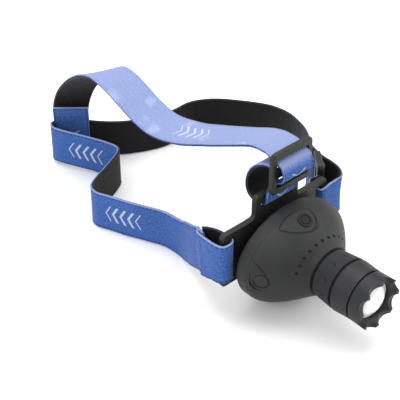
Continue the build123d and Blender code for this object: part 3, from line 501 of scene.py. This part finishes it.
def band_axes(run, upright):
    """For each place: its spot, which ways width and outside point, the length so far, and along."""
    frames = []
    walked = 0.0
    for index, place in enumerate(run):
        before = Vector(run[max(index - 1, 0)][:3])
        after = Vector(run[min(index + 1, len(run) - 1)][:3])
        along = (after - before).normalized()
        if upright:
            up = Vector((0, 0, 1))
            width_way = up + along.cross(up) * math.tan(math.radians(place[3]))
        else:
            lean, roll = math.radians(place[3]), math.radians(place[4])
            width_way = Vector((math.cos(lean) * math.cos(roll), -math.sin(lean) * math.cos(roll),
                                math.sin(roll)))
        width_way = (width_way - along * width_way.dot(along)).normalized()
        out_way = width_way.cross(along) if upright else along.cross(width_way)
        if index:
            walked += (Vector(place[:3]) - Vector(run[index - 1][:3])).length
        frames.append((Vector(place[:3]), width_way, out_way.normalized(), walked, along))
    return frames


loop_frames = band_axes(smooth_run(RIGHT_LOOP_ROUTE, 1.1), upright=True)
head_frames = band_axes(smooth_run(HEAD_ROUTE, 1.1), upright=True)
top_frames = band_axes(smooth_run(TOP_ROUTE, 1.1), upright=False)
print("head strap", round(head_frames[-1][3]), "mm, top strap", round(top_frames[-1][3]), "mm")

# %% [markdown]
# ## The band's section
# Seen end-on, woven elastic is a thin slab whose face is lightly ribbed by its rubber threads, with
# a rounder, slightly thicker cord along each edge. The section below has that shape. Along the band
# the weave tension wanders a little, so the edges are never ruler-straight: a slow noise moves them
# by a few tenths of a millimetre.

# %% Build a band
RIB_SPACING = 1.5
UV_PER_MM = 0.01


def finished_piece(name, mesh_maker, *finishes):
    """Turn a built mesh into an object with these finishes, its faces turned outward."""
    bmesh.ops.recalc_face_normals(mesh_maker, faces=mesh_maker.faces)
    mesh = bpy.data.meshes.new(name)
    mesh_maker.to_mesh(mesh)
    mesh_maker.free()
    for finish in finishes:
        mesh.materials.append(finish)
    piece = bpy.data.objects.new(name, mesh)
    bpy.context.scene.collection.objects.link(piece)
    return piece


def band_section(width):
    """Points round the band's section: (across, out), first over the outer face, then back inside."""
    steps = 40
    face = []
    for step in range(steps + 1):
        across = -1 + 2 * step / steps
        half = THICKNESS / 2
        near_edge = max(0.0, abs(across) - 0.9) / 0.1
        swell = 0.16 * math.sin(math.pi * min(1.0, near_edge))
        rib = 0.045 * math.cos(across * width * math.pi / RIB_SPACING)
        height = (half + rib + swell) * math.sqrt(max(0.0, 1 - near_edge ** 4))
        face.append((across * width / 2, height))
    return face + [(across, -height) for across, height in reversed(face[1:-1])]


def build_band(name, frames, width, outer_finish, inner_finish, seed):
    """A woven band along the frames. Its faces carry how far along and across they lie."""
    section = band_section(width)
    mesh_maker = bmesh.new()
    uv = mesh_maker.loops.layers.uv.new("webbing")
    rings = []
    for place, width_way, out_way, walked, _ in frames:
        ripple = 0.28 * noise.noise(Vector((walked / 21, seed, 0)))
        squeeze = 1 + 0.012 * noise.noise(Vector((walked / 13, seed + 9, 0)))
        ring = []
        for across, height in section:
            pucker = 0.1 * noise.noise(Vector((walked / 3.2, across / 3.5, seed)))
            spot = place + width_way * across * squeeze + out_way * (height + ripple * 0.5 + pucker)
            ring.append(mesh_maker.verts.new(spot * MM))
        rings.append(ring)
    count = len(section)
    outer_count = count // 2 + 1
    for (near, far), near_frame, far_frame in zip(zip(rings, rings[1:]), frames, frames[1:]):
        for index in range(count):
            following = (index + 1) % count
            face = mesh_maker.faces.new((near[index], near[following], far[following], far[index]))
            face.material_index = 0 if index < outer_count - 1 else 1
            face.smooth = True
            corners = ((index, near_frame), (following, near_frame), (following, far_frame),
                       (index, far_frame))
            for loop, (place, at) in zip(face.loops, corners):
                loop[uv].uv = (at[3] * UV_PER_MM, section[place][0] * UV_PER_MM + 0.5)
    for ring in (rings[0], rings[-1]):
        for edge in mesh_maker.faces.new(ring).edges:
            edge.smooth = False
    band = finished_piece(name, mesh_maker, outer_finish, inner_finish)
    print(name, "faces", len(band.data.polygons), "length mm", round(frames[-1][3]))
    return band


# %% [markdown]
# ## The webbing's finish
# Close up, the weave is rows of short threads that cross the band, each row shifted by half a
# thread. Two crossed waves give that relief, and the same waves paint shade into the gaps. A pale
# thread runs along both edges with dark dashes beside it, and the outer face carries a printed row
# of plain chevrons now and then. The inner face is the same weave in black. Faces that look up get
# painted light, a paler wash.

# %% Group: woven elastic
DASH_SPACING = 2.4
BAR_SPACING = 5.0
PRINT_SPACING = 90.0
weave_group, w, given, out = new_group(
    "Woven elastic", [("Half width mm", 12.5), ("Rib mm", RIB_SPACING), ("Thread mm", 0.9),
                       ("Print start mm", 30.0)],
    ["Height", "Gap", "Flecks", "Edge thread", "Dashes", "Bars"])
uv = w.add("ShaderNodeUVMap", uv_map="webbing").outputs["UV"]
flat = w.add("ShaderNodeSeparateXYZ", {0: uv}).outputs
along_mm = w.math("DIVIDE", flat["X"], UV_PER_MM)
across_mm = w.math("DIVIDE", w.math("SUBTRACT", flat["Y"], 0.5), UV_PER_MM)
across_share = w.math("DIVIDE", w.math("ABSOLUTE", across_mm), given["Half width mm"])
rib_turn = w.math("MULTIPLY", w.math("DIVIDE", across_mm, given["Rib mm"]), 2 * math.pi)
ribs = w.math("COSINE", rib_turn)
row_shift = w.math("MULTIPLY", w.math("SIGN", ribs), math.pi / 2)
thread_turn = w.math("MULTIPLY", w.math("DIVIDE", along_mm, given["Thread mm"]), 2 * math.pi)
threads = w.math("COSINE", w.math("ADD", thread_turn, row_shift))
rib_height = w.math("MULTIPLY", w.math("ABSOLUTE", ribs), 0.5)
relief = w.math("ADD", rib_height, w.math("MULTIPLY", threads, 0.3))
fuzz = w.noise(uv, 1500.0, 3.0)
w.feed(out["Height"], w.math("ADD", relief, w.math("MULTIPLY", fuzz, 0.5)))
# Gap marks the low places between threads; the webbing paints shade into them.
w.feed(out["Gap"], w.spread(relief, 0.35, -0.15))
stretched = w.add("ShaderNodeMapping", {"Vector": uv, "Scale": (130, 75, 1)}).outputs[0]
w.feed(out["Flecks"], w.spread(w.noise(stretched, 1.0, 2.0, 0.7), 0.42, 0.66))
edge_line = w.math("COMPARE", across_share, 0.955, 0.022)
w.feed(out["Edge thread"], edge_line)
dash_line = w.math("COMPARE", across_share, 0.905, 0.036)
dash_wave = w.math("SINE", w.math("MULTIPLY", along_mm, 2 * math.pi / DASH_SPACING))
dash_beat = w.math("GREATER_THAN", dash_wave, -0.3)
w.feed(out["Dashes"], w.math("MULTIPLY", dash_line, dash_beat))
slanted = w.math("ADD", along_mm, w.math("MULTIPLY", w.math("ABSOLUTE", across_mm), 0.6))
bar_beat = w.math("LESS_THAN", w.math("PINGPONG", slanted, BAR_SPACING / 2), 0.8)
from_start = w.math("SUBTRACT", slanted, given["Print start mm"])
window_beat = w.math("LESS_THAN", w.math("PINGPONG", from_start, PRINT_SPACING / 2), 10.0)
bar_height = w.math("LESS_THAN", across_share, 0.42)
w.feed(out["Bars"], w.math("MULTIPLY", w.math("MULTIPLY", bar_beat, window_beat), bar_height))

# %% Webbing materials


def webbing(name, colour, gap_shade_and_dash_colour, half_width, bars, line_colour, painted_top_light_amount, print_start=30.0):
    """Woven elastic of one colour, with painted top light that makes what faces up paler."""
    material, w, shader = new_material(name, Sheen_Weight=0.12, Sheen_Roughness=0.35,
                                       Specular_IOR_Level=0.15)
    weave = place_group(w, weave_group, **{"Half width mm": half_width, "Print start mm": print_start})
    painted_top_light = place_group(w, dust_and_top_light_group, Amount=painted_top_light_amount, Evenness=0.62)["Mask"]
    where = w.add("ShaderNodeTexCoord").outputs["Object"]
    faded = w.mix(w.spread(w.noise(where, 45.0, 4.0), 0.3, 0.7), colour, scaled(colour, 1.22))
    # Painted shade: the gaps between threads are darkened towards the deep colour.
    gap_shaded = w.mix(w.math("MULTIPLY", weave["Gap"], 0.75), faded, gap_shade_and_dash_colour)
    flecked = w.mix(w.math("MULTIPLY", weave["Flecks"], 0.5), gap_shaded, scaled(colour, 2.4, 0.004))
    printed = w.mix(w.math("MULTIPLY", weave["Bars"], bars), flecked, (0.55, 0.6, 0.72, 1))
    dashed = w.mix(w.math("MULTIPLY", weave["Dashes"], 0.85), printed, gap_shade_and_dash_colour)
    edged = w.mix(w.math("MULTIPLY", weave["Edge thread"], 0.4), dashed, line_colour)
    # Painted light: what faces up is washed towards a pale blue, standing in for the light from above.
    w.feed(shader.inputs["Base Color"], w.mix(painted_top_light, edged, (0.46, 0.5, 0.66, 1)))
    w.feed(shader.inputs["Roughness"], w.spread(weave["Height"], 0, 1, 0.85, 0.7))
    w.feed(shader.inputs["Normal"], w.bump(weave["Height"], 0.55, 0.16 * MM))
    return material


BLUE = (0.034, 0.086, 0.265, 1)
GAP_SHADE_AND_DASH_BLUE = (0.008, 0.02, 0.11, 1)
LINE_BLUE = (0.16, 0.23, 0.5, 1)
INNER_BLACK = (0.006, 0.006, 0.007, 1)
head_blue = webbing("webbing_blue", BLUE, GAP_SHADE_AND_DASH_BLUE, STRAP_WIDTH / 2, 0.7, LINE_BLUE, 0.62, 85.0)
loop_blue = webbing("webbing_blue_plain", BLUE, GAP_SHADE_AND_DASH_BLUE, STRAP_WIDTH / 2, 0.0, LINE_BLUE, 0.62)
head_black_inner = webbing("webbing_black", INNER_BLACK, (0.002, 0.002, 0.002, 1),
                           STRAP_WIDTH / 2, 0.0, (0.05, 0.06, 0.1, 1), 0.02)
top_blue = webbing("webbing_blue_narrow", BLUE, GAP_SHADE_AND_DASH_BLUE, TOP_WIDTH / 2, 0.7, LINE_BLUE, 0.62)
top_black = webbing("webbing_black_narrow", INNER_BLACK, (0.002, 0.002, 0.002, 1),
                    TOP_WIDTH / 2, 0.0, (0.09, 0.11, 0.18, 1), 0.02)

# %% The two straps
right_loop = build_band("head_strap_end_loop", loop_frames, STRAP_WIDTH, loop_blue, head_black_inner, 5)
head_strap = build_band("head_strap", head_frames, STRAP_WIDTH, head_blue, head_black_inner, 3)
top_strap = build_band("top_strap", top_frames, TOP_WIDTH, top_blue, top_black, 7)
for band, length, width, cad_bands in (
        (right_loop, loop_frames[-1][3], STRAP_WIDTH, ("head_strap_loop_right",)),
        (head_strap, head_frames[-1][3], STRAP_WIDTH,
         ("head_strap_right", "head_strap_fold", "head_strap_rear", "head_strap_left",
          "head_strap_loop_left")),
        (top_strap, top_frames[-1][3], TOP_WIDTH,
         ("top_strap_loop", "top_strap_front", "top_strap_arch", "top_strap_rear"))):
    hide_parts(*cad_bands)
    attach(band, "bracket")

# %% [markdown]
# ## Stitching
# Each end of the head strap is sewn down with a box of stitches with a cross in it, and the top
# strap's hem has two rows. A bump map would vanish at the strap's edge and in silhouette, so each
# stitch is a real, short, plump thread that sinks into the webbing at both ends.

# %% Sew the seams
STITCH_LENGTH = 2.0


def frame_at(frames, walked):
    """The band's frame nearest to this length along it."""
    return min(frames, key=lambda at: abs(at[3] - walked))


def on_band(frames, walked, across, lift):
    """A spot this far along and across the band, lifted off its middle plane."""
    place, width_way, out_way, _, along = frame_at(frames, walked)
    return place + width_way * across + out_way * lift


def add_stitch(mesh_maker, start, end, out_way):
    """One thread from start to end, plump in its middle."""
    along = end - start
    side = along.cross(out_way).normalized()
    rings = []
    for share, size in ((0.0, 0.1), (0.15, 0.2), (0.5, 0.26), (0.85, 0.2), (1.0, 0.1)):
        middle = start + along * share + out_way * (0.16 * math.sin(math.pi * share))
        ring = []
        for corner in range(6):
            turn = corner * math.pi / 3
            spot = middle + (side * math.cos(turn) + out_way * math.sin(turn)) * size
            ring.append(mesh_maker.verts.new(spot * MM))
        rings.append(ring)
    for near, far in zip(rings, rings[1:]):
        for index in range(6):
            following = (index + 1) % 6
            face = mesh_maker.faces.new((near[index], near[following], far[following], far[index]))
            face.smooth = True
    mesh_maker.faces.new(rings[0])
    mesh_maker.faces.new(rings[-1])


def sew(name, frames, seams, finish):
    """Rows of stitches on the outer face: each seam is (along, across) to (along, across)."""
    mesh_maker = bmesh.new()
    lift = THICKNESS / 2 + 0.12
    total = 0
    for start, end in seams:
        length = math.dist(start, end)
        count = max(2, round(length / STITCH_LENGTH))
        for step in range(count):
            spots = []
            for share in ((step + 0.1) / count, (step + 0.9) / count):
                walked = start[0] + (end[0] - start[0]) * share
                across = start[1] + (end[1] - start[1]) * share
                spots.append(on_band(frames, walked, across, lift))
            add_stitch(mesh_maker, spots[0], spots[1], frame_at(frames, start[0])[2])
            total += 1
    stitches = finished_piece(name, mesh_maker, finish)
    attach(stitches, "bracket")
    print(name, "stitches", total)


def sewn_box(near, far, half_width):
    """The seams of a sewn box with a cross in it, between two lengths along the band."""
    corners = [(near, -half_width), (far, -half_width), (far, half_width), (near, half_width)]
    sides = list(zip(corners, corners[1:] + corners[:1]))
    return sides + [(corners[0], corners[2]), (corners[1], corners[3])]


def walked_to(frames, x, y):
    """How far along the band the place nearest to this spot lies."""
    return min(frames, key=lambda at: math.hypot(at[0].x - x, at[0].y - y))[3]


thread, w, shader = new_material("sewing_thread", Sheen_Weight=0.5)
where = w.add("ShaderNodeTexCoord").outputs["Object"]
twist = w.add("ShaderNodeTexWave", {"Vector": where, "Scale": 900.0, "Distortion": 2.0}).outputs["Fac"]
w.feed(shader.inputs["Base Color"], w.mix(twist, (0.03, 0.08, 0.36, 1), (0.07, 0.16, 0.6, 1)))
w.feed(shader.inputs["Roughness"], w.spread(twist, 0, 1, 0.5, 0.7))

loop_end = loop_frames[-1][3]
left_seam = walked_to(head_frames, 61.5, 26.4)
sew("head_strap_stitches_right", loop_frames, sewn_box(loop_end - 6, loop_end - 1.5, 10), thread)
sew("head_strap_stitches_left", head_frames, sewn_box(left_seam - 3, left_seam + 3, 10), thread)
sew("top_strap_hem_stitches", top_frames, [((2.5, -9), (2.5, 9)), ((5.5, -9), (5.5, 9))], thread)

# %% [markdown]
# ## The foam pad
# The pad behind the bracket is a slip of closed-cell foam with rounded borders and moulded grooves
# that let sweat run off. It is a grid with its thickness worked out at each point: full in the
# middle, falling away round the border, and dipping in each groove.

# %% Foam pad
foam, w, shader = new_material("pad_foam", Sheen_Weight=0.2)
grain = place_group(w, grain_group, **{"Size mm": 0.7})
w.feed(shader.inputs["Base Color"],
       w.mix(grain["Cloud"], (0.02, 0.02, 0.022, 1), (0.045, 0.045, 0.048, 1)))
w.feed(shader.inputs["Roughness"], w.spread(grain["Height"], 0, 1, 0.95, 0.8))
w.feed(shader.inputs["Normal"], w.bump(grain["Height"], 0.6, 0.15 * MM))


def rim_of(sheet):
    """The border points of a grid, once round."""
    right, left = [line[-1] for line in sheet[1:]], [line[0] for line in sheet[-2:0:-1]]
    return sheet[0] + right + sheet[-1][-2::-1] + left


def build_pad():
    """A crowned pad with rounded corners and three grooves, between its CAD node's corners."""
    low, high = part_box("forehead_pad")
    middle, half_x, half_z = (low + high) / 2, (high.x - low.x) / 2, (high.z - low.z) / 2
    depth = high.y - low.y
    columns, rows = 84, 46
    mesh_maker = bmesh.new()
    sheets = []
    for rear in (True, False):
        sheet = []
        for row in range(rows + 1):
            line = []
            for column in range(columns + 1):
                u, v = -1 + 2 * column / columns, -1 + 2 * row / rows
                squared = (abs(u) ** 6 + abs(v) ** 6) ** (1 / 6)
                reach = max(abs(u), abs(v))
                shrink = reach / squared if squared else 1
                x, z = u * shrink * half_x, v * shrink * half_z
                border = min(1.0, (1 - reach) / 0.1)
                rise = math.sqrt(max(0.0, 1 - (1 - border) ** 2))
                groove = max(math.exp(-((x - g * 14 * MM) / (1.1 * MM)) ** 2) for g in (-1, 0, 1))
                groove *= max(0.0, 1 - (abs(v) / 0.75) ** 8)
                y = high.y - depth * 0.55 * (1 - rise) - 0.9 * MM * groove if rear else low.y
                line.append(mesh_maker.verts.new((middle.x + x, y, middle.z + z)))
            sheet.append(line)
        sheets.append(sheet)
    for sheet in sheets:
        for lower, upper in zip(sheet, sheet[1:]):
            for corners in zip(lower, lower[1:], upper[1:], upper):
                mesh_maker.faces.new(corners)
    back, front = sheets
    back_rim, front_rim = rim_of(back), rim_of(front)
    for index, corner in enumerate(back_rim):
        following = (index + 1) % len(back_rim)
        mesh_maker.faces.new((corner, back_rim[following], front_rim[following], front_rim[index]))
    for face in mesh_maker.faces:
        face.smooth = True
    return finished_piece("forehead_pad_foam", mesh_maker, foam)


pad = build_pad()
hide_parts("forehead_pad")
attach(pad, "bracket")
print("pad faces", len(pad.data.polygons))

# %% [markdown]
# ## Floor, light and camera
# A pale matt floor and large soft lights keep the black plastic readable: a black object shows only
# what it reflects, so the lights are wide panels that leave broad, gentle highlights on the dome.

# %% Floor
floor_mesh = bpy.data.meshes.new("floor")
floor_height = cad_box[0].z - 0.05 * MM
FLOOR_REACH = 4
floor_corners = [(x * FLOOR_REACH, y * FLOOR_REACH, floor_height)
                 for x, y in ((-1, -1), (1, -1), (1, 1), (-1, 1))]
floor_mesh.from_pydata(floor_corners, [], [(0, 1, 2, 3)])
floor = bpy.data.objects.new("floor", floor_mesh)
bpy.context.scene.collection.objects.link(floor)
floor_white, w, shader = new_material("floor_white", Roughness=0.9, Specular_IOR_Level=0.1)
shader.inputs["Base Color"].default_value = (0.92, 0.92, 0.92, 1)
floor_mesh.materials.append(floor_white)

# %% Lights
world = bpy.data.worlds.new("room")
bpy.context.scene.world = world
world.use_nodes = True
world.node_tree.nodes["Background"].inputs["Color"].default_value = (1, 1, 1, 1)
world.node_tree.nodes["Background"].inputs["Strength"].default_value = 0.84


def soft_panel(name, place, aim, size, power):
    """A square soft light at a place, turned to face the aim."""
    light = bpy.data.lights.new(name, "AREA")
    light.size = size
    light.energy = power
    panel = bpy.data.objects.new(name, light)
    panel.location = place
    panel.rotation_euler = (Vector(aim) - Vector(place)).to_track_quat("-Z", "Y").to_euler()
    bpy.context.scene.collection.objects.link(panel)


middle = (cad_box[0] + cad_box[1]) / 2
soft_panel("top_panel", (0.1, 0.25, 1.0), middle, 1.0, 10)
soft_panel("right_panel", (0.7, -0.5, 0.6), middle, 0.6, 4)
soft_panel("left_panel", (-0.8, 0.1, 0.5), middle, 0.6, 2.5)

# %% Camera
VIEW_AZIMUTH, VIEW_ELEVATION = math.radians(-42.6), math.radians(36.7)
VIEW_DISTANCE = 0.6
aim = Vector((-33.7, 17.0, 29.6)) * MM
back_way = Vector((math.sin(VIEW_AZIMUTH) * math.cos(VIEW_ELEVATION),
                   -math.cos(VIEW_AZIMUTH) * math.cos(VIEW_ELEVATION), math.sin(VIEW_ELEVATION)))
camera_data = bpy.data.cameras.new("camera")
camera_data.lens = 104.8
camera_data.sensor_width = 36
camera = bpy.data.objects.new("camera", camera_data)
camera.location = aim + back_way * VIEW_DISTANCE
camera.rotation_euler = (math.pi / 2 - VIEW_ELEVATION, 0, VIEW_AZIMUTH)
bpy.context.scene.collection.objects.link(camera)
bpy.context.scene.camera = camera
bpy.context.scene.view_settings.view_transform = "Standard"
print("camera", tuple(round(v, 3) for v in camera.location))
